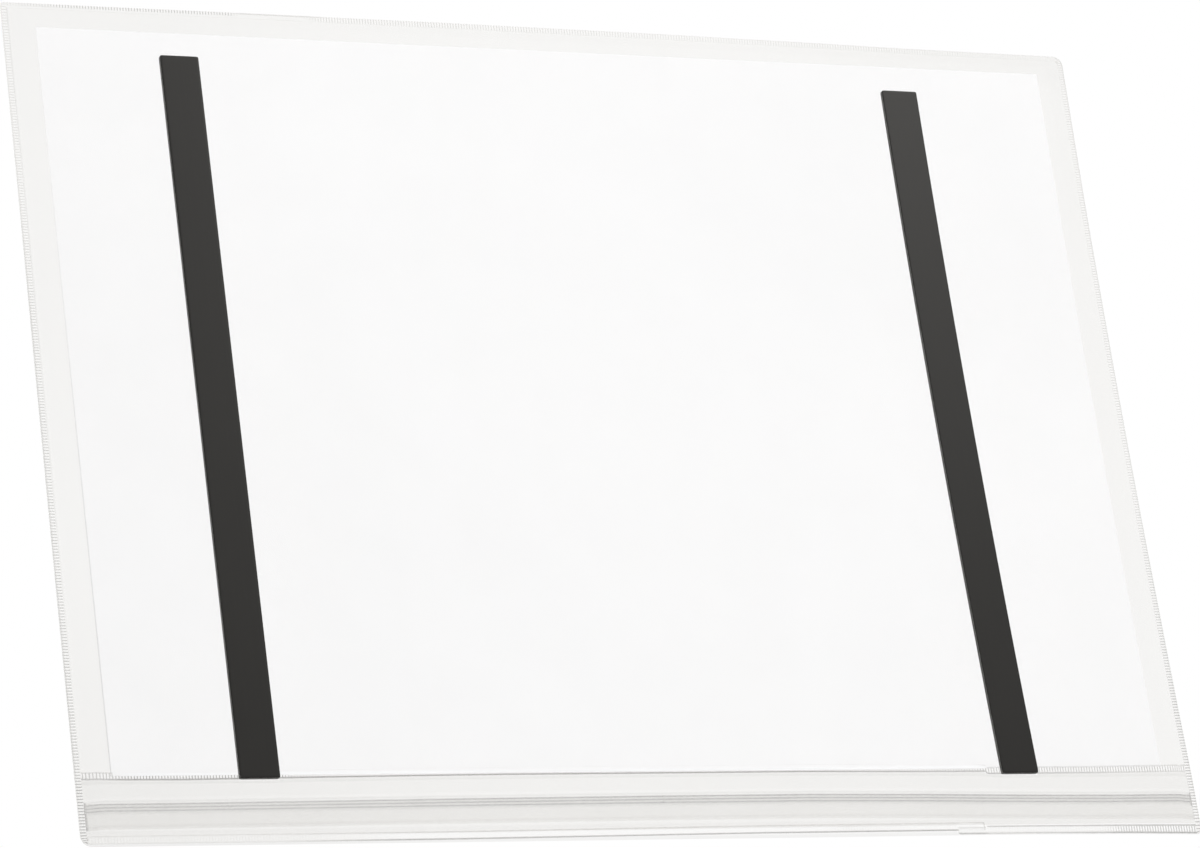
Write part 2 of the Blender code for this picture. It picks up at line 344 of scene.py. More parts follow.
def slab(name, across, up, rear, front, finish, shade=None, place=None):
    """A thin closed layer over a grid of X and Z.

    rear and front give its two faces, shade how dense it looks, and place where its points end up.
    """
    x, z = np.meshgrid(across, up)
    rear_y = rear(x, z) + np.zeros_like(x)
    front_y = front(x, z) + np.zeros_like(x)
    dense = np.zeros_like(x) if shade is None else shade(x, z) + np.zeros_like(x)
    if place is not None:
        x, z = place(x, z)
    rear_points = np.stack([x, rear_y, z], -1).reshape(-1, 3)
    front_points = np.stack([x, front_y, z], -1).reshape(-1, 3)
    count = x.size
    index = np.arange(count).reshape(x.shape)
    corners = [index[:-1, :-1], index[1:, :-1], index[1:, 1:], index[:-1, 1:]]
    rear_faces = np.stack(corners, -1).reshape(-1, 4)
    rim = np.concatenate([index[0, :-1], index[:-1, -1], index[-1, :0:-1], index[:0:-1, 0]])
    after = np.roll(rim, -1)
    rim_faces = np.stack([rim, after, after + count, rim + count], -1)
    faces = np.concatenate([rear_faces, rear_faces[:, ::-1] + count, rim_faces])
    mesh = bpy.data.meshes.new(name)
    mesh.from_pydata(np.concatenate([rear_points, front_points]).tolist(), [], faces.tolist())
    mesh.shade_smooth()
    mesh.set_sharp_from_angle(angle=SHARP_ANGLE)
    mesh.attributes.new("shade", "FLOAT", "POINT").data.foreach_set("value", np.tile(dense.ravel(), 2))
    mesh.materials.append(finish)
    piece = bpy.data.objects.new(name, mesh)
    bpy.context.scene.collection.objects.link(piece)
    return piece


def settle(piece, body, slot, *nodes):
    """Ties a finished piece to its body and hides the frame's nodes that it stands for; slot is not used."""
    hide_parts(*nodes)
    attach(piece, body)
    return piece


def let_light_pass(piece):
    """Thin layers that lie on each other throw no shadow of their own."""
    piece.visible_shadow = False
    return piece


# Finishes


def add_node(tree, kind, inputs=None, **settings):
    made = tree.nodes.new(kind)
    for name, value in settings.items():
        setattr(made, name, value)
    for name, value in (inputs or {}).items():
        made.inputs[name].default_value = value
    return made


def math_node(tree, operation, first, second):
    """A Math node whose inputs are sockets or numbers."""
    made = add_node(tree, "ShaderNodeMath", operation=operation)
    for socket, value in zip(made.inputs, (first, second)):
        if isinstance(value, (int, float)):
            socket.default_value = value
        else:
            tree.links.new(value, socket)
    return made.outputs[0]


def ranged(tree, value, from_low, from_high, to_low, to_high):
    made = add_node(tree, "ShaderNodeMapRange")
    tree.links.new(value, made.inputs["Value"])
    labels = ("From Min", "From Max", "To Min", "To Max")
    for label, number in zip(labels, (from_low, from_high, to_low, to_high)):
        made.inputs[label].default_value = number
    return made.outputs["Result"]


def mixed(tree, share, first, second):
    """A colour mix; first and second are sockets or colours."""
    made = add_node(tree, "ShaderNodeMix", data_type="RGBA")
    tree.links.new(share, made.inputs["Factor"])
    colours = [socket for socket in made.inputs if socket.type == "RGBA"]
    for socket, value in zip(colours, (first, second)):
        if isinstance(value, tuple):
            socket.default_value = (*value, 1.0)
        else:
            tree.links.new(value, socket)
    return next(socket for socket in made.outputs if socket.type == "RGBA")


def noise(tree, place, scale, detail=2.0, stretch=None):
    """Noise over the object's own coordinates, stretched along an axis where asked."""
    if stretch is not None:
        mapping = add_node(tree, "ShaderNodeMapping", {"Scale": stretch})
        tree.links.new(place, mapping.inputs["Vector"])
        place = mapping.outputs["Vector"]
    made = add_node(tree, "ShaderNodeTexNoise", {"Scale": scale, "Detail": detail, "Roughness": 0.6})
    tree.links.new(place, made.inputs["Vector"])
    return made.outputs["Fac"]


def new_group(name, inputs, outputs):
    tree = bpy.data.node_groups.new(name, "ShaderNodeTree")
    for label, kind, value in inputs:
        socket = tree.interface.new_socket(label, in_out="INPUT", socket_type=kind)
        socket.default_value = value
    for label, kind in outputs:
        tree.interface.new_socket(label, in_out="OUTPUT", socket_type=kind)
    return tree, tree.nodes.new("NodeGroupInput"), tree.nodes.new("NodeGroupOutput")


def film_haze_group():
    """Cloudiness of soft film: slow blotches, fine haze and faint handling marks."""
    tree, _, out = new_group(
        "film_haze", (), (("Haze", "NodeSocketFloat"), ("Height", "NodeSocketFloat"))
    )
    place = tree.nodes.new("ShaderNodeTexCoord").outputs["Object"]
    blotches = noise(tree, place, scale=14.0, detail=3.0)
    fine = noise(tree, place, scale=900.0)
    marks = noise(tree, place, scale=60.0, detail=4.0, stretch=(1.0, 1.0, 0.06))
    marks = ranged(tree, marks, 0.62, 0.74, 0.0, 1.0)
    cloud = math_node(tree, "MULTIPLY", blotches, 0.6)
    cloud = math_node(tree, "ADD", cloud, math_node(tree, "MULTIPLY", fine, 0.4))
    cloud = ranged(tree, cloud, 0.3, 0.7, 0.0, 0.8)
    haze = math_node(tree, "ADD", cloud, math_node(tree, "MULTIPLY", marks, 0.2))
    tree.links.new(haze, out.inputs["Haze"])
    tree.links.new(math_node(tree, "ADD", fine, marks), out.inputs["Height"])
    return tree


def pressed_film_group():
    """Colour and density of film where a rib, ridge, line or cut edge makes it denser, and a painted
    highlight where a negative shade makes it paler.
    """
    tree, given, out = new_group(
        "pressed_film",
        (
            ("Shade", "NodeSocketFloat", 0.0),
            ("Haze", "NodeSocketFloat", 0.5),
            ("Clear Colour", "NodeSocketColor", (0.5, 0.5, 0.5, 1.0)),
            ("Line Colour", "NodeSocketColor", (0.25, 0.25, 0.25, 1.0)),
            ("Painted Highlight Colour", "NodeSocketColor", (0.97, 0.97, 0.97, 1.0)),
            ("Clear Density", "NodeSocketFloat", 0.05),
            ("Line Density", "NodeSocketFloat", 0.4),
        ),
        (("Colour", "NodeSocketColor"), ("Density", "NodeSocketFloat")),
    )
    shade = given.outputs["Shade"]
    darker = ranged(tree, shade, 0.0, 0.35, 0.0, 1.0)
    # A negative shade paints a highlight: it mixes in the near-white highlight colour, standing in for light
    # that glints off the film.
    paler = ranged(tree, shade, 0.0, -0.05, 0.0, 1.0)
    colour = mixed(tree, darker, given.outputs["Clear Colour"], given.outputs["Line Colour"])
    colour = mixed(tree, paler, colour, given.outputs["Painted Highlight Colour"])
    strength = math_node(tree, "ABSOLUTE", shade, 0.0)
    span = math_node(tree, "SUBTRACT", given.outputs["Line Density"], given.outputs["Clear Density"])
    cloudy = ranged(tree, given.outputs["Haze"], 0.0, 1.0, 0.9, 1.1)
    clear = math_node(tree, "MULTIPLY", given.outputs["Clear Density"], cloudy)
    density = math_node(tree, "ADD", clear, math_node(tree, "MULTIPLY", strength, span))
    tree.links.new(colour, out.inputs["Colour"])
    tree.links.new(density, out.inputs["Density"])
    return tree


def fine_grain_group():
    """Fine grain of a matt surface, with slower patches."""
    tree, given, out = new_group(
        "fine_grain",
        (("Scale", "NodeSocketFloat", 1000.0),),
        (("Grain", "NodeSocketFloat"), ("Patches", "NodeSocketFloat")),
    )
    place = tree.nodes.new("ShaderNodeTexCoord").outputs["Object"]
    grain = add_node(tree, "ShaderNodeTexNoise", {"Detail": 3.0, "Roughness": 0.65})
    tree.links.new(place, grain.inputs["Vector"])
    tree.links.new(given.outputs["Scale"], grain.inputs["Scale"])
    tree.links.new(grain.outputs["Fac"], out.inputs["Grain"])
    tree.links.new(noise(tree, place, scale=24.0, detail=3.0), out.inputs["Patches"])
    return tree


FILM_HAZE = film_haze_group()
PRESSED_FILM = pressed_film_group()
FINE_GRAIN = fine_grain_group()


def new_finish(name, constants):
    """A material with its Principled shader, whose constant values are set on its own sockets."""
    material = bpy.data.materials.new(name)
    material.use_nodes = True
    tree = material.node_tree
    shader = tree.nodes["Principled BSDF"]
    for label, value in constants.items():
        shader.inputs[label].default_value = value
    return material, tree, shader


def place_group(tree, group, **values):
    made = add_node(tree, "ShaderNodeGroup", node_tree=group)
    for label, value in values.items():
        made.inputs[label.replace("_", " ")].default_value = value
    return made


def add_bump(tree, shader, height, strength, distance):
    made = add_node(tree, "ShaderNodeBump", {"Strength": strength, "Distance": distance})
    tree.links.new(height, made.inputs["Height"])
    tree.links.new(made.outputs["Normal"], shader.inputs["Normal"])


GRAIN_RANGE = (0.3, 0.7)  # what a grain's noise mostly spans
FILM_TINT = (0.49, 0.46, 0.395)
LINE_TINT = (0.2, 0.19, 0.18)
PAPER_DARK = (0.952, 0.954, 0.966)
PAPER_PALE = (0.98, 0.982, 0.994)
PAPER_LINE_AND_SHADE_GREY = (0.66, 0.66, 0.67)
RUBBER_DARK = (0.0072, 0.0068, 0.006)
RUBBER_PALE = (0.0098, 0.0093, 0.0083)
RUBBER_SPECK = (0.035, 0.034, 0.032)
RUBBER_CUT = (0.085, 0.084, 0.08)
RUBBER_SHEEN = (1.0, 0.975, 0.94)
ADHESIVE_DARK = (0.62, 0.6, 0.54)
ADHESIVE_PALE = (0.74, 0.72, 0.66)


def shade_value(tree):
    """The shade that a piece's points carry."""
    return add_node(tree, "ShaderNodeAttribute", attribute_name="shade").outputs["Fac"]


def matt_surface(tree, shader, colour, grain, roughness):
    """Gives a shader its colour, and a roughness that follows its grain."""
    tree.links.new(colour, shader.inputs["Base Color"])
    tree.links.new(ranged(tree, grain, *GRAIN_RANGE, *roughness), shader.inputs["Roughness"])


def film_finish(name, clear_density, line_density, roughness):
    """Clear film: nearly all of what is behind it shows, and ribs, lines and rims are denser."""
    material, tree, shader = new_finish(name, {"IOR": 1.48, "Specular IOR Level": 0.2})
    haze = place_group(tree, FILM_HAZE)
    pressed = place_group(
        tree,
        PRESSED_FILM,
        Clear_Colour=(*FILM_TINT, 1.0),
        Line_Colour=(*LINE_TINT, 1.0),
        Clear_Density=clear_density,
        Line_Density=line_density,
    )
    tree.links.new(shade_value(tree), pressed.inputs["Shade"])
    tree.links.new(haze.outputs["Haze"], pressed.inputs["Haze"])
    tree.links.new(pressed.outputs["Colour"], shader.inputs["Base Color"])
    tree.links.new(pressed.outputs["Density"], shader.inputs["Alpha"])
    tree.links.new(ranged(tree, haze.outputs["Haze"], 0, 1, *roughness), shader.inputs["Roughness"])
    add_bump(tree, shader, haze.outputs["Height"], strength=0.15, distance=0.02 * MM)
    return material


def paper_finish():
    """Smooth white paper with faint fibres, greyer along a line at its right edge and where painted shade is
    laid on it.
    """
    material, tree, shader = new_finish("poster_paper", {"Specular IOR Level": 0.2})
    grain = place_group(tree, FINE_GRAIN, Scale=2600.0)
    fibres = math_node(tree, "MULTIPLY", grain.outputs["Grain"], grain.outputs["Patches"])
    fibres = ranged(tree, fibres, 0.1, 0.5, 0.0, 1.0)
    colour = mixed(tree, fibres, PAPER_DARK, PAPER_PALE)
    # The points' shade greys the paper: painted shade, and a line along the right edge
    colour = mixed(tree, shade_value(tree), colour, PAPER_LINE_AND_SHADE_GREY)
    matt_surface(tree, shader, colour, grain.outputs["Grain"], roughness=(0.55, 0.7))
    add_bump(tree, shader, grain.outputs["Grain"], strength=0.2, distance=0.02 * MM)
    return material


def magnet_finish():
    """Matt black ferrite rubber: fine grain, faint lines along its length, and paler cut sides."""
    material, tree, shader = new_finish(
        "magnet_rubber", {"Specular IOR Level": 0.188, "Specular Tint": (*RUBBER_SHEEN, 1.0)}
    )
    grain = place_group(tree, FINE_GRAIN, Scale=1800.0)
    place = tree.nodes.new("ShaderNodeTexCoord").outputs["Object"]
    lines = noise(tree, place, scale=1500.0, stretch=(1.0, 1.0, 0.004))
    patches = math_node(tree, "MULTIPLY", grain.outputs["Patches"], 0.6)
    tone = math_node(tree, "ADD", patches, math_node(tree, "MULTIPLY", lines, 0.4))
    tone = ranged(tree, tone, *GRAIN_RANGE, 0.0, 1.0)
    face = mixed(tree, tone, RUBBER_DARK, RUBBER_PALE)
    specks = ranged(tree, grain.outputs["Grain"], 0.66, 0.74, 0.0, 0.5)
    face = mixed(tree, specks, face, RUBBER_SPECK)
    colour = mixed(tree, shade_value(tree), face, RUBBER_CUT)
    matt_surface(tree, shader, colour, grain.outputs["Grain"], roughness=(0.33, 0.43))
    height = math_node(tree, "ADD", grain.outputs["Grain"], math_node(tree, "MULTIPLY", lines, 0.5))
    add_bump(tree, shader, height, strength=0.35, distance=0.03 * MM)
    return material


def adhesive_finish():
    """Pale transfer adhesive, slightly blotchy."""
    material, tree, shader = new_finish("strip_adhesive", {"Specular IOR Level": 0.4})
    grain = place_group(tree, FINE_GRAIN, Scale=1200.0)
    colour = mixed(tree, grain.outputs["Patches"], ADHESIVE_DARK, ADHESIVE_PALE)
    matt_surface(tree, shader, colour, grain.outputs["Grain"], roughness=(0.4, 0.6))
    add_bump(tree, shader, grain.outputs["Grain"], strength=0.3, distance=0.03 * MM)
    return material


CLEAR_FILM = film_finish("clear_film", clear_density=0.05, line_density=0.3, roughness=(0.08, 0.2))
WELDED_FILM = film_finish("welded_film", clear_density=0.05, line_density=0.6, roughness=(0.2, 0.35))
ZIP_TAPE = film_finish("zip_tape", clear_density=0.064, line_density=0.5, roughness=(0.1, 0.22))
POSTER_PAPER = paper_finish()
MAGNET_RUBBER = magnet_finish()
STRIP_ADHESIVE = adhesive_finish()


# Films and sheet


def film_lines(low, high):
    return graded(low, high, coarse=5.0 * MM, fine=0.5 * MM, border=10.0 * MM)


# Painted shade where the key lamp lights the front film most: how much denser and greyer it is made along its
# top and its left side; and how much darker it is towards its lower right corner
FILM_PAINTED_SHADE_TOP = (
    (-222, 0.125), (-150, 0.085), (-100, 0.035), (-50, 0.015), (60, 0.01), (120, 0.03),
    (222, 0.025),
)
FILM_PAINTED_SHADE_LEFT = ((70, 0.0), (110, 0.05), (166, 0.07))
FILM_DARKER_CORNER = 0.075
FILM_DARKER_CORNER_ACROSS = (90.0 * MM, 110.0 * MM)  # where it starts, and over what length it grows
FILM_DARKER_CORNER_DOWN = (-50.0 * MM, 90.0 * MM)
LIP_SHADE = 0.17  # the front film's free lip below the bottom weld
LIP_BLUR = 0.4 * MM
SHEET_EDGE_LINE = ((-140, 1.0), (-30, 0.7), (60, 0.3), (120, 0.0))  # grey line at the sheet's right edge
SHEET_EDGE_LINE_WIDTH = 0.5 * MM
SEAM_PULL = 12.0 * MM  # the back film follows the zip seam's steps over this height
# Painted shade where the key lamp lights the sheet most: how much greyer it is towards its left side, and
# above its middle towards its upper left
SHEET_PAINTED_SHADE = ((-210, 0.085), (-130, 0.055), (-60, 0.02), (20, 0.0))
SHEET_PAINTED_SHADE_UPPER = ((-210, 0.09), (-95, 0.1), (-48, 0.08), (0, 0.07), (45, 0.055), (92, 0.025), (140, 0.0))
SHEET_PAINTED_SHADE_RISE = (-20.0 * MM, 140.0 * MM)  # where up the sheet the second starts, and over what height


def make_front_film():
    def shade(x, z):
        edge = np.minimum(HALF_WIDTH - np.abs(x), np.minimum(TOP - z, z - BOTTOM))
        rim = RIM_SHADE * smooth(1.0 - edge / RIM_WIDTH)
        lip = LIP_SHADE * smooth((HEM_LOW.z - z) / LIP_BLUR + 0.5)
        # Denser and darker towards the lower right corner
        start, length = FILM_DARKER_CORNER_ACROSS
        darker_corner = FILM_DARKER_CORNER * smooth((x - start) / length)
        start, length = FILM_DARKER_CORNER_DOWN
        darker_corner = darker_corner * smooth((start - z) / length)
        # Painted shade along the top and the left side, where the key lamp lights the film most
        painted_shade_top = along(x, FILM_PAINTED_SHADE_TOP) * smooth((z - SHEET_HIGH.z) / SPREAD_REACH + 1.0)
        painted_shade_left = along(z, FILM_PAINTED_SHADE_LEFT) * smooth((-SHEET_EDGE - x) / SPREAD_REACH + 1.0)
        return np.maximum(rim, lip) + darker_corner + np.maximum(painted_shade_top, painted_shade_left)

    def lines(low, high):
        rims = [low + RIM_WIDTH / 2, low + RIM_WIDTH, high - RIM_WIDTH, high - RIM_WIDTH / 2]
        return np.sort(np.concatenate([film_lines(low, high), rims]))

    film = slab(
        "front_film_panel",
        lines(-HALF_WIDTH, HALF_WIDTH),
        lines(BOTTOM, TOP),
        lambda x, z: FILM_REAR + ripple(x, z),
        lambda x, z: FILM_REAR - FILM_THICK + ripple(x, z),
        CLEAR_FILM,
        shade,
        pocket_outline,
    )
    settle(let_light_pass(film), "pocket", "clear_film", "front_film")


def back_rear(x, z):
    """The back film's rear face: level over the sheet, and drawn down to the front film at the welds."""
    lift = side_lift(x) * top_lift(z)
    return between(lift, PINCHED_REAR, BACK_REAR) + pucker(x, z) + ripple(x, z) * lift


def make_back_film():
    low = SEAM_HIGH.z

    def meet_seam(x, z):
        near = smooth(1.0 - (z - low) / SEAM_PULL)
        return as_laid(x, z + (seam_high(x) - low) * near)

    def pinched(x, z):
        return along(z, PINCH) * smooth(1.0 - (INNER_HALF - x) / PINCH_WIDTH)

    film = slab(
        "back_film_panel",
        graded(-INNER_HALF, INNER_HALF, coarse=4.0 * MM, fine=0.7 * MM, border=14.0 * MM),
        graded(low, TOP_WELD_LOW, coarse=4.0 * MM, fine=0.7 * MM, border=14.0 * MM),
        back_rear,
        lambda x, z: back_rear(x, z) - FILM_THICK,
        CLEAR_FILM,
        pinched,
        meet_seam,
    )
    settle(let_light_pass(film), "pocket", "clear_film", "back_film")


def make_sheet():
    def cockle(x, z):
        return COCKLE_HEIGHT * np.sin(math.tau * (x / COCKLE_LENGTH + COCKLE_START))

    def tone(x, z):
        # Painted shade towards the left side and the upper left, where the key lamp lights the sheet most,
        # and a grey line along the right edge
        start, height = SHEET_PAINTED_SHADE_RISE
        grey = along(x, SHEET_PAINTED_SHADE) + along(x, SHEET_PAINTED_SHADE_UPPER) * smooth((z - start) / height)
        return grey + along(z, SHEET_EDGE_LINE) * smooth(1.0 - (SHEET_EDGE - x) / SHEET_EDGE_LINE_WIDTH)

    sheet = slab(
        "poster_sheet",
        graded(-SHEET_EDGE, SHEET_EDGE, coarse=6.0 * MM, fine=0.25 * MM, border=4.0 * MM),
        graded(SHEET_BOTTOM, SHEET_HIGH.z, coarse=12.0 * MM, fine=1.0 * MM, border=4.0 * MM),
        lambda x, z: SHEET_HIGH.y + cockle(x, z),
        lambda x, z: SHEET_LOW.y + cockle(x, z),
        POSTER_PAPER,
        tone,
        drawn_in,
    )
    settle(sheet, "insert", "paper", "insert_sheet")


# Knurled welds

BAND_BORDER = 0.12  # share of a weld's width over which its ribs fade at a border
BORDER_SHADE = 0.3  # share of the grooves' shade that is left at a border
GROOVE_DARK = 0.6
# Painted highlight on the ribs' crests, as a negative shade
GROOVE_HIGHLIGHT = 0.09
GROOVE_BORDER = 0.5  # height of a rib, from 0 to 1, at which dark turns to pale


def ribs(position):
    """1 on a rib's crest, 0 in the groove between two."""
    return 0.5 + 0.5 * np.cos(math.tau * position / RIB_PITCH)


def band(share):
    """1 over a weld's band, falling to 0 at its two borders."""
    return smooth(share / BAND_BORDER) * smooth((1.0 - share) / BAND_BORDER)


def groove_shade(position, depth, dark=GROOVE_DARK, pale=GROOVE_HIGHLIGHT, border=GROOVE_BORDER):
    """Dark grooves and crests with a painted highlight, which meet at the height that border gives."""
    height = ribs(position)
    groove = smooth((border - height) / border)
    crest = smooth((height - border) / (1.0 - border))
    return depth * (dark * groove - pale * crest)


def border_line(distance, width=LINE_WIDTH):
    """A dark line just inside a weld's border."""
    return bump(distance - width / 3, width / 2)


SIDE_DARK = 0.34
# Painted highlight on the side welds' crests
SIDE_HIGHLIGHT = 0.5
SIDE_BORDER = 0.35
SIDE_DEPTH = {
    "right": (
        (-166, 2.1), (-144, 2.05), (-138, 1.35), (-60, 1.2), (40, 0.9), (90, 0.6), (150, 0.5),
        (166, 0.4),
    ),
    "left": (
        (-166, 1.7), (-110, 1.65), (-60, 1.0), (-20, 0.65), (60, 0.6), (166, 0.5),
    ),
}
SIDE_LINE = {
    "right": (
        (-166, 0.12), (-144, 0.14), (-138, 0.26), (40, 0.28), (90, 0.18), (150, 0.12),
        (166, 0.05),
    ),
    "left": (
        (-166, 0.16), (-110, 0.17), (-60, 0.2), (60, 0.19), (166, 0.17),
    ),
}
PINCH = ((-138, 0.04), (-60, 0.14), (60, 0.24), (166, 0.24))  # line in the film beside the right weld
PINCH_WIDTH = 0.8 * MM
TOP_DEPTH = (
    (-222, 0.1), (-120, 0.3), (-60, 0.2), (40, 0.35), (98, 0.35), (103, 0.0), (128, 0.0),
    (132, 0.75), (200, 0.7), (212, 0.4), (222, 0.2),
)
# Painted highlight on the top weld's crests
TOP_HIGHLIGHT = 0.8
TOP_CLEAR = ((95, 0.0), (130, 0.35), (222, 0.35))  # share of the band, from inside, without visible ribs
TOP_BLUR = 0.15
TOP_LINE = ((90, 0.0), (100, 0.25), (128, 0.25), (132, 0.0))
SEAM_DEPTH = (
    (-222, 0.95), (-134, 0.95), (-130, 0.95), (-60, 0.4), (60, 0.4), (110, 1.0), (170, 1.2),
    (206, 1.15), (211, 0.7),
)
SEAM_LINE = (
    (-222, 0.15), (-190, 0.32), (-165, 0.5), (-134, 0.52), (-60, 0.74), (0, 0.82), (170, 0.78),
    (206, 0.7), (213, 0.5),
)
SEAM_HIDDEN = ((-136, 0.6), (-133, 1.0))  # how far the sheet behind hides its ribs
SEAM_LEAD = (  # and how far below its lower edge, as shares of its blur
    (-136, 0.8), (-132, 1.3), (-90, 1.3), (-60, 0.8), (60, 0.8), (90, 2.0), (120, 1.9),
    (165, 0.85),
)
HEM_DEPTH = (
    (-222, 0.85), (-190, 0.75), (-180, 0.25), (-100, 0.15), (-75, 0.35), (-60, 0.1), (222, 0.1),
)
HEM_FIRST_LINE = (
    (-120, 0.0), (-118.5, 0.75), (0, 0.65), (100, 0.7), (130, 0.35), (150, 0.08), (222, 0.02),
)
HEM_FIRST_UPPER = ((-131, 0.5), (-122, 0.24), (0, 0.27), (100, 0.34), (160, 0.12))
HEM_SECOND_LINE = (
    (-222, 0.7), (-190, 0.65), (-160, 0.4), (-132, 0.35), (-130, 0.55), (-119, 0.55),
)
HEM_SECOND_UPPER = ((-222, 0.55), (-132, 0.5), (-131, 0.0), (-119, 0.0))
# Painted highlight over the bottom weld's bands, as a negative shade; towards +X the first stroke's value
# turns positive and makes its band denser instead, and where the strokes overlap the highlight is stronger
HEM_HIGHLIGHT_AND_DENSITY = ((100, -0.06), (145, 0.02), (222, 0.05))
HEM_SECOND_HIGHLIGHT = 0.05
OVERLAP_HIGHLIGHT = 0.12  # where the strokes of the bottom weld overlap
OVERLAP_LINE = 0.5
OVERLAP_RISE = 0.75 * MM
SEAM_SECOND_DARK = 0.42
# Painted highlight on the zip seam's crests
SEAM_HIGHLIGHT = 0.7
SEAM_UPPER_LINE = 0.22
SEAM_UPPER_START = 0.7  # over the sheet it starts this far into the step to the second stroke
SEAM_EXTRA = 0.05 * MM  # the seam is thicker than the film by this
SEAM_ROWS = 21
STRIP_PRESS = 0.85  # share of the seam's ribs that a magnetic strip presses flat
STRIP_PRESS_REACH = 2.0 * MM
SHEET_EDGE_BLUR = 0.6 * MM  # over which the sheet's edge hides the ribs in front of it
GLEAM = -0.09  # pale line along the sheet's lower edge, up to a place along X
GLEAM_RISE = 0.2 * MM
GLEAM_WIDTH = 0.7 * MM
GLEAM_END = (208.0 * MM, 6.0 * MM)


def make_side_weld(name, sign, side):
    """A side weld, thicker beside the zip."""
    across = np.sort(sign * np.linspace(INNER_HALF, HALF_WIDTH, BAND_ROWS))

    def share(x):
        return (np.abs(x) - INNER_HALF) / (HALF_WIDTH - INNER_HALF)

    def rear(x, z):
        zip_end = smooth((SEAM_LOW.z - z) / ZIP_WELD_RISE) * (1.0 - ZIP_WELD_TAPER * share(x))
        base = WELD_REAR + ZIP_WELD_EXTRA * zip_end
        return base + RIB_HEIGHT * ribs(z) * band(share(x)) + ripple(x, z)

    def shade(x, z):
        depth = along(z, SIDE_DEPTH[side])
        outer = along(z, SIDE_LINE[side]) * border_line(HALF_WIDTH - np.abs(x))
        grooves = groove_shade(z, depth, SIDE_DARK, SIDE_HIGHLIGHT, SIDE_BORDER)
        return np.maximum(grooves * between(band(share(x)), BORDER_SHADE, 1.0), outer)

    weld = slab(
        name + "_knurled",
        across,
        rib_lines(BOTTOM, TOP),
        rear,
        on_front_film,
        WELDED_FILM,
        shade,
        pocket_outline,
    )
    settle(let_light_pass(weld), "pocket", "welded_film", name)


def make_top_weld():
    def share(z):
        return (z - TOP_WELD_LOW) / (TOP - TOP_WELD_LOW)

    def rear(x, z):
        return WELD_REAR + RIB_HEIGHT * ribs(x) * band(share(z)) + ripple(x, z)

    def shade(x, z):
        shown = smooth((share(z) - along(x, TOP_CLEAR)) / TOP_BLUR)
        shown = shown * between(smooth((1.0 - share(z)) / BAND_BORDER), BORDER_SHADE, 1.0)
        line = along(x, TOP_LINE) * border_line(TOP - z)
        grooves = groove_shade(x, along(x, TOP_DEPTH), pale=TOP_HIGHLIGHT, border=SIDE_BORDER)
        return np.maximum(grooves * shown, line)

    weld = slab(
        "top_weld_knurled",
        rib_lines(-INNER_HALF, INNER_HALF),
        np.linspace(TOP_WELD_LOW, TOP, BAND_ROWS),
        rear,
        on_front_film,
        WELDED_FILM,
        shade,
        pocket_outline,
    )
    settle(let_light_pass(weld), "pocket", "welded_film", "top_weld")


def make_hem_stroke(name, start, end, free_side, depth, width, shade):
    """One stroke of the bottom weld; its rows run from 0 at its lower border to 1 at its upper."""

    def rear(x, share):
        return WELD_REAR + TAPE_THICK / 2 + HEM_RIB_HEIGHT * ribs(x) * band(share) + ripple(x, HEM_LOW.z)

    def place(x, share):
        upper = SHEET_BOTTOM - along(x, depth) * MM
        z = upper - width * (1.0 - share)
        free_end = start if free_side < 0 else end
        high = SHEET_BOTTOM - along(free_end, depth) * MM
        rounded = ((free_side, -1, HEM_END_ROUND), (free_side, 1, HEM_END_ROUND))
        return as_laid(*round_corners(x, z, (start, high - width), (end, high), rounded))

    weld = slab(
        name,
        rib_lines(start, end),
        np.linspace(0.0, 1.0, 2 * BAND_ROWS + 1),
        rear,
        lambda x, share: on_front_film(x, HEM_LOW.z),
        WELDED_FILM,
        shade,
        place,
    )
    settle(let_light_pass(weld), "pocket", "welded_film", "bottom_weld")


def make_bottom_weld():
    """The weld of the lower zip tape to the front film, in two strokes that overlap."""

    def lines(x, share, width, upper, lower):
        """A stroke's border lines and grooves."""
        above = along(x, upper) * border_line((1.0 - share) * width)
        below = along(x, lower) * border_line(share * width)
        grooves = groove_shade(x, along(x, HEM_DEPTH)) * band(share)
        return np.maximum.reduce([above, below, grooves])

    def first_shade(x, share):
        overlap = smooth((HEM_SECOND_START - x) / MM)
        within = border_line(share * HEM_FIRST_WIDTH - OVERLAP_RISE)
        outline = np.maximum(border_line(x - HEM_FIRST_END), within) * OVERLAP_LINE
        # Painted highlight over the band, stronger where the strokes overlap
        pale = (along(x, HEM_HIGHLIGHT_AND_DENSITY) - OVERLAP_HIGHLIGHT * overlap) * band(share)
        drawn = lines(x, share, HEM_FIRST_WIDTH, HEM_FIRST_UPPER, HEM_FIRST_LINE)
        return np.maximum(drawn, outline * overlap) + pale

    def second_shade(x, share):
        drawn = lines(x, share, HEM_SECOND_WIDTH, HEM_SECOND_UPPER, HEM_SECOND_LINE)
        # Painted highlight over the band
        return drawn - HEM_SECOND_HIGHLIGHT * band(share)

    first = (HEM_FIRST_END, INNER_HALF, -1, HEM_FIRST_DEPTH, HEM_FIRST_WIDTH)
    make_hem_stroke("bottom_weld_first_stroke", *first, first_shade)
    second = (-INNER_HALF, HEM_SECOND_START, 1, HEM_SECOND_DEPTH, HEM_SECOND_WIDTH)
    make_hem_stroke("bottom_weld_second_stroke", *second, second_shade)


def over_sheet(x, z):
    """1 where the sheet lies behind, which hides the ribs."""
    beside = smooth((SHEET_EDGE - np.abs(x)) / SHEET_EDGE_BLUR)
    return beside * smooth((z - SHEET_BOTTOM) / SHEET_EDGE_BLUR + along(x, SEAM_LEAD))


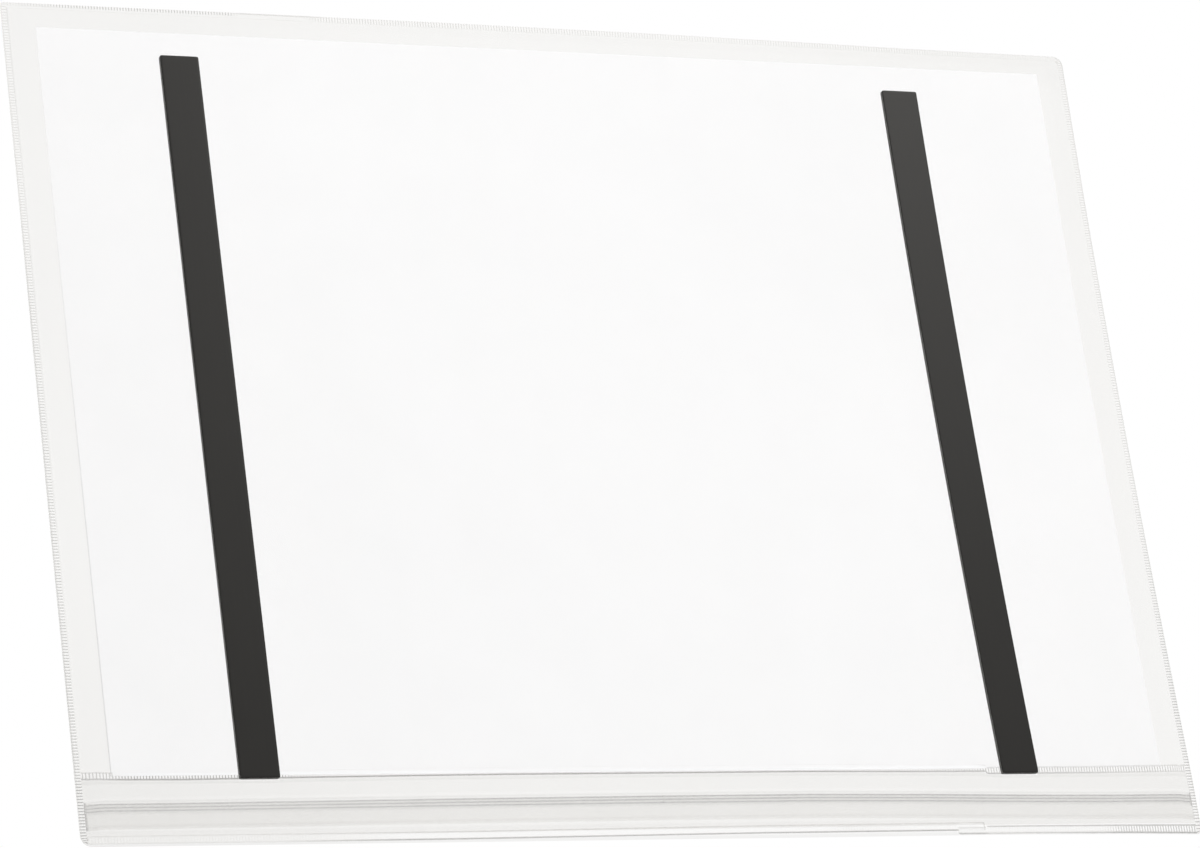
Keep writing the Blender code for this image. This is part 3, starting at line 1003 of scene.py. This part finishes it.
def make_zip_seam():
    """The weld that joins the back film's lower edge to the flap, with the film's dark cut edge below it."""

    def place(x, share):
        return x, between(share, seam_low(x), seam_high(x))

    def level(x):
        return between(side_lift(x), PINCHED_REAR, BACK_REAR)

    def rear(x, share):
        height = RIB_HEIGHT * (1.0 - STRIP_PRESS * under_strip(x))
        return level(x) - height * (1.0 - ribs(x)) * band(share)

    def shade(x, share):
        _, z = place(x, share)
        width = seam_high(x) - seam_low(x)
        second = second_stroke(x)
        shown = (1.0 - over_sheet(x, z) * along(x, SEAM_HIDDEN)) * smooth((1.0 - share) / BAND_BORDER)
        dark = between(second, GROOVE_DARK, SEAM_SECOND_DARK)
        grooves = groove_shade(x, along(x, SEAM_DEPTH), dark, SEAM_HIGHLIGHT, SIDE_BORDER) * shown
        line = along(x, SEAM_LINE) * border_line(share * width, SEAM_LINE_WIDTH)
        past_step = smooth((second - SEAM_UPPER_START) / (1.0 - SEAM_UPPER_START))
        drawn = between(over_sheet(x, z), 1.0, past_step)
        upper = SEAM_UPPER_LINE * drawn * border_line((1.0 - share) * width)
        end, fade = GLEAM_END
        gleam = GLEAM * bump(z - SHEET_BOTTOM - GLEAM_RISE, GLEAM_WIDTH) * smooth((end - x) / fade)
        return np.maximum.reduce([grooves, line, upper]) + gleam * (1.0 - second)

    seam = slab(
        "zip_seam_knurled",
        rib_lines(-INNER_HALF, INNER_HALF),
        np.linspace(0.0, 1.0, SEAM_ROWS),
        rear,
        lambda x, share: level(x) - FILM_THICK - SEAM_EXTRA,
        WELDED_FILM,
        shade,
        lambda x, share: as_laid(*place(x, share)),
    )
    settle(let_light_pass(seam), "pocket", "welded_film", "zip_seam")


def under_strip(x):
    """1 under a magnetic strip."""
    cover = np.zeros_like(x)
    for side in ("left", "right"):
        low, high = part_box("magnet_strip_" + side)
        under = (x > low.x - STRIP_PRESS_REACH) & (x < high.x + STRIP_PRESS_REACH)
        cover = np.maximum(cover, under.astype(float))
    return cover


# Zip

ZIP_ROW = 0.6 * MM  # between grid lines away from the ridges
ZIP_EDGE_ROWS = 4
ZIP_COLUMN = 2.5 * MM
ZIP_END = 12.0 * MM  # the flap's grid is finer towards its welded ends
ZIP_END_COLUMN = 0.5 * MM
NOTCH_STEP = 0.05 * MM
FLAP_PULL = 3.0 * MM  # the flap's film follows the seam's steps over this height
FLAP_END_SLOPE = 8.0 * MM
TAPE_SAG_RISE = 8.0 * MM

# How dense the flap looks: its film, the ridges, and lines along it as shade, height and half width
FLAP_FILM = ((-222, 0.06), (-150, 0.05), (-60, 0.03), (60, 0.03), (150, 0.05), (222, 0.055))
RIDGE_SHADE = ((-222, 1.25), (60, 1.25), (140, 1.0))
RIDGE_LINE = 0.3
RIDGE_LINE_WIDTH = 0.4 * MM
RIDGE_FILM = 0.12
RIDGE_FILM_TOP = (0.6 * MM, 0.4 * MM)  # how far it passes the first ridge, and its blur
RIDGE_FILM_FOOT = (1.7 * MM, 1.2 * MM)  # the same below the last ridge
FLAP_LINES = {
    "above the ridges": (0.08, FIRST_RIDGE + 1.0 * MM, 0.6 * MM),
    "gleam": (-0.04, FIRST_RIDGE + 2.0 * MM, 0.9 * MM),
    "lip": (0.09, FLAP_LOW.z + 1.1 * MM, 1.0 * MM),
    "under the seam": (0.16, FLAP_TOP - 0.95 * MM, 0.55 * MM),
}
FLAP_END_SHADE = 0.5
FLAP_END_WIDTH = 1.1 * MM
FLAP_END_TOP = FIRST_RIDGE + 1.5 * MM
FLAP_END_FOOT = (2.5 * MM, 1.5 * MM)  # at the left end, how far it passes the last ridge, and its blur
LOWER_TAPE_SHADE = 0.07
LOWER_TAPE_TOP = (0.2 * MM, 0.8 * MM)  # how far it passes the flap's lip, and its blur
TAPE_EDGE_SHADE = 0.04
TAPE_EDGE_WIDTH = 0.5 * MM


def zip_rows(low, high, middles):
    """Heights across a zip tape, close together at its ridges and its lower edge."""
    first = max(middles) + RIDGE_PITCH
    last = min(middles) - RIDGE_PITCH
    ridged = np.arange(last, first, RIDGE_STEP)
    above = np.linspace(first, high, max(3, round((high - first) / ZIP_ROW) + 1))
    below = np.linspace(low + ZIP_ROW, last, max(3, round((last - low) / ZIP_ROW) + 1))[:-1]
    edge = np.linspace(low, low + ZIP_ROW, ZIP_EDGE_ROWS + 1)[:-1]
    return np.concatenate([edge, below, ridged, above])


def strip_foot(side):
    """A strip's lower end: its two edges along X, and its height."""
    low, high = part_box("magnet_strip_" + side)
    shift = STRIP_SHIFT[side] - STRIP_LEAN[side]
    return low.x + shift - NOTCH_GAP, high.x + shift + NOTCH_GAP, low.z - STRIP_LOW_EXTRA[side]


def strip_reach(x):
    """How high the flap's film may reach: up to a strip's end where there is one above it."""
    reach = np.full_like(x, TOP)
    for side in ("left", "right"):
        first, last, height = strip_foot(side)
        reach = np.where((x > first) & (x < last), height - NOTCH_GAP, reach)
    return reach


def zip_sag(x):
    """How far the zip hangs below its straight line."""
    return along(x, ZIP_SAG) * MM


def flap_shade(x, z):
    """Dark lines at the ridges, a pale gleam above them, and denser film at the lip and the squashed ends."""
    past, blur = RIDGE_FILM_TOP
    body = RIDGE_FILM * smooth((FLAP_MIDDLES[0] + past - z) / blur)
    past, blur = RIDGE_FILM_FOOT
    body = body * smooth((z - FLAP_MIDDLES[-1] + past) / blur)
    ridges = sum(RIDGE_LINE * bump(z - middle, RIDGE_LINE_WIDTH) for middle in FLAP_MIDDLES)
    pressed = (ridges + body) * along(x, RIDGE_SHADE)
    end = FLAP_END_SHADE * smooth(1.0 - (INNER_HALF - np.abs(x)) / FLAP_END_WIDTH)
    end = end * smooth((FLAP_END_TOP - z) / MM)
    past, blur = FLAP_END_FOOT
    end = np.where(x < 0.0, end * smooth((z - FLAP_MIDDLES[-1] + past) / blur), end)
    lines = sum(shade * bump(z - height, half) for shade, height, half in FLAP_LINES.values())
    return np.maximum(pressed, end) + along(x, FLAP_FILM) + lines


def make_flap():
    """The upper zip tape in two halves, whose outer ends stay in their welds."""
    top = FLAP_TOP
    rows = zip_rows(FLAP_LOW.z, top, FLAP_MIDDLES)

    def rear(x, z):
        ends = PINCHED_REAR + TAPE_THICK * smooth((top - z) / FLAP_END_SLOPE)
        level = BACK_REAR + BEAD_HEIGHT * ridge(z, FLAP_MIDDLES)
        return between(side_lift(x), ends, level)

    def front(x, z):
        return rear(x, z) - TAPE_THICK - (FLAP_HEIGHT + BEAD_HEIGHT) * ridge(z, FLAP_MIDDLES) * side_lift(x)

    def meet_seam(x, z):
        near = smooth(1.0 - (top - z) / FLAP_PULL)
        upper = np.minimum(seam_low(x) - CONTACT_GAP, strip_reach(x))
        return as_laid(x, z + (upper - top) * near - zip_sag(x) * (1.0 - near))

    for side, sign in (("left", -1), ("right", 1)):
        middle = np.arange(0.0, INNER_HALF - ZIP_END, ZIP_COLUMN)
        end = INNER_HALF - np.linspace(0.0, ZIP_END, round(ZIP_END / ZIP_END_COLUMN) + 1)
        notch = [edge + step for edge in strip_foot(side)[:2] for step in (-NOTCH_STEP, NOTCH_STEP)]
        half = slab(
            "zip_flap_half_" + side,
            np.sort(np.concatenate([sign * middle, sign * end, notch])),
            rows,
            rear,
            front,
            ZIP_TAPE,
            flap_shade,
            meet_seam,
        )
        let_light_pass(half)
        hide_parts("zip_upper_tape")
        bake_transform(half)


def make_lower_tape():
    def rear(x, z):
        return FILM_REAR + TAPE_THICK + LOWER_HEIGHT * ridge(z, LOWER_MIDDLES) * side_lift(x) + ripple(x, z)

    def shade(x, z):
        past, blur = LOWER_TAPE_TOP
        below_lip = LOWER_TAPE_SHADE * smooth((FLAP_LOW.z + past - z) / blur)
        return below_lip + TAPE_EDGE_SHADE * bump(z - TAPE_HIGH.z, TAPE_EDGE_WIDTH)

    def place(x, z):
        return as_laid(x, z - zip_sag(x) * smooth((z - TAPE_LOW.z) / TAPE_SAG_RISE))

    tape = slab(
        "zip_lower_tape_ridged",
        graded(-INNER_HALF, INNER_HALF, coarse=5.0 * MM, fine=0.6 * MM, border=9.0 * MM),
        zip_rows(TAPE_LOW.z, TAPE_HIGH.z, LOWER_MIDDLES),
        rear,
        on_front_film,
        ZIP_TAPE,
        shade,
        place,
    )
    settle(let_light_pass(tape), "pocket", "zip_tape", "zip_lower_tape")


# Magnetic strips


def make_strip(side):
    """A magnetic strip with rounded edges and paler cut sides, and the adhesive under it."""
    low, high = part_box("magnet_strip_" + side)
    middle = (low + high) / 2
    half_length = (high.z - low.z) / 2

    def bowed(x, z):
        height = (z - middle.z) / half_length
        extra = np.where(height > 0.0, STRIP_TOP_EXTRA[side], STRIP_LOW_EXTRA[side])
        sideways = STRIP_SHIFT[side] + STRIP_BOW[side] * (1.0 - height**2) + STRIP_LEAN[side] * height
        return x + sideways, z + extra * height

    def place(x, z):
        corners = [(sx, sz, STRIP_CORNER) for sx in (-1, 1) for sz in (-1, 1)]
        return bowed(*round_corners(x, z, (low.x, low.z), (high.x, high.z), corners))

    def edge(x, z):
        return np.minimum(np.minimum(x - low.x, high.x - x), np.minimum(z - low.z, high.z - z))

    def rounding(x, z):
        inset = np.clip(STRIP_ROUND - edge(x, z), 0.0, STRIP_ROUND)
        return STRIP_ROUND - np.sqrt(STRIP_ROUND**2 - inset**2)

    def lines(start, end, coarse):
        turn = STRIP_ROUND * (1.0 - np.cos(np.linspace(0.0, math.pi / 2, STRIP_ROUND_LINES)))
        inner = np.linspace(start + MM, end - MM, max(2, round((end - start) / coarse)))
        return np.concatenate([start + turn, inner, end - turn[::-1]])

    strip = slab(
        "magnet_strip_" + side + "_rubber",
        lines(low.x, high.x, coarse=2.0 * MM),
        lines(low.z, high.z, coarse=4.0 * MM),
        lambda x, z: high.y - rounding(x, z),
        lambda x, z: low.y + 0.0 * x,
        MAGNET_RUBBER,
        lambda x, z: (edge(x, z) < STRIP_CUT).astype(float),
        place,
    )
    strip.visible_diffuse = False
    settle(let_light_pass(strip), "pocket", "magnet", "magnet_strip_" + side)

    low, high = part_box("adhesive_" + side)
    film = slab(
        "adhesive_" + side + "_layer",
        graded(low.x, high.x, coarse=2.0 * MM, fine=0.4 * MM, border=1.2 * MM),
        graded(low.z, high.z, coarse=4.0 * MM, fine=0.5 * MM, border=2.0 * MM),
        lambda x, z: high.y + 0.0 * x,
        lambda x, z: low.y + ripple(x, z) + CONTACT_GAP,
        STRIP_ADHESIVE,
        None,
        bowed,
    )
    film.visible_diffuse = False
    settle(let_light_pass(film), "pocket", "adhesive", "adhesive_" + side)


# Stage, light and camera

WHITE = (1.0, 1.0, 1.0, 1.0)
FLOOR_COLOUR = (0.9, 0.9, 0.9, 1.0)
FLOOR_ROUGHNESS = 0.8


def seen_directly(tree):
    """1 for what the camera sees, also in a reflection or through film."""
    path = tree.nodes.new("ShaderNodeLightPath")
    seen = math_node(tree, "MAXIMUM", path.outputs["Is Camera Ray"], path.outputs["Is Glossy Ray"])
    return math_node(tree, "MAXIMUM", seen, path.outputs["Is Transmission Ray"])


def mix_shaders(tree, share, first, second, output):
    """Sends a mix of two shaders to the tree's output node."""
    mix = tree.nodes.new("ShaderNodeMixShader")
    tree.links.new(share, mix.inputs["Fac"])
    tree.links.new(first, mix.inputs[1])
    tree.links.new(second, mix.inputs[2])
    tree.links.new(mix.outputs["Shader"], tree.nodes[output].inputs["Surface"])


def make_floor():
    """A pale floor well below the pocket, which fades to white with distance."""
    bpy.ops.mesh.primitive_plane_add(size=FLOOR_SIZE, location=(0.0, 0.0, FLOOR_LEVEL))
    floor = bpy.context.object
    floor.name = "studio_floor"
    constants = {"Base Color": FLOOR_COLOUR, "Roughness": FLOOR_ROUGHNESS}
    material, tree, shader = new_finish("pale_floor", constants)
    place = tree.nodes.new("ShaderNodeTexCoord").outputs["Object"]
    reach = add_node(tree, "ShaderNodeVectorMath", operation="LENGTH")
    tree.links.new(place, reach.inputs[0])
    far = ranged(tree, reach.outputs["Value"], *FLOOR_FADE, 0.0, 1.0)
    white = add_node(tree, "ShaderNodeEmission", {"Color": WHITE, "Strength": 1.0})
    share = math_node(tree, "MULTIPLY", far, seen_directly(tree))
    mix_shaders(tree, share, shader.outputs["BSDF"], white.outputs["Emission"], "Material Output")
    floor.data.materials.append(material)


def make_world():
    """Even studio light, and white wherever the background itself is seen."""
    world = bpy.data.worlds.new("studio")
    bpy.context.scene.world = world
    world.use_nodes = True
    tree = world.node_tree
    light = tree.nodes["Background"]
    light.inputs["Color"].default_value = WHITE
    light.inputs["Strength"].default_value = AMBIENT
    white = add_node(tree, "ShaderNodeBackground", {"Color": WHITE, "Strength": 1.0})
    shaders = (light.outputs["Background"], white.outputs["Background"])
    mix_shaders(tree, seen_directly(tree), *shaders, "World Output")


def make_lamp(name, place, size, power):
    data = bpy.data.lights.new(name, "AREA")
    data.shape = "SQUARE"
    data.size = size
    data.energy = power
    lamp = bpy.data.objects.new(name, data)
    lamp.location = place
    lamp.rotation_mode = "QUATERNION"
    lamp.rotation_quaternion = (-place).to_track_quat("-Z", "Y")
    bpy.context.scene.collection.objects.link(lamp)


def make_camera():
    data = bpy.data.cameras.new("photo_camera")
    data.sensor_fit = "HORIZONTAL"
    data.sensor_width = SENSOR_WIDTH
    data.lens = CAMERA_LENS
    camera = bpy.data.objects.new("photo_camera", data)
    camera.location = CAMERA_PLACE
    camera.rotation_mode = "QUATERNION"
    aim = (CAMERA_AIM - CAMERA_PLACE).to_track_quat("-Z", "Y")
    camera.rotation_quaternion = aim @ Quaternion((0.0, 0.0, 1.0), math.radians(CAMERA_ROLL))
    bpy.context.scene.collection.objects.link(camera)
    bpy.context.scene.camera = camera


make_front_film()
make_back_film()
make_sheet()
make_side_weld("left_weld", -1, "left")
make_side_weld("right_weld", 1, "right")
make_top_weld()
make_bottom_weld()
make_zip_seam()
make_flap()
make_lower_tape()
make_strip("left")
make_strip("right")
make_floor()
make_world()
make_lamp("key_softbox", KEY_PLACE, KEY_SIZE, KEY_POWER)
make_lamp("display_side_softbox", FILL_PLACE, FILL_SIZE, FILL_POWER)
make_camera()
bpy.context.scene.view_settings.view_transform = "Standard"
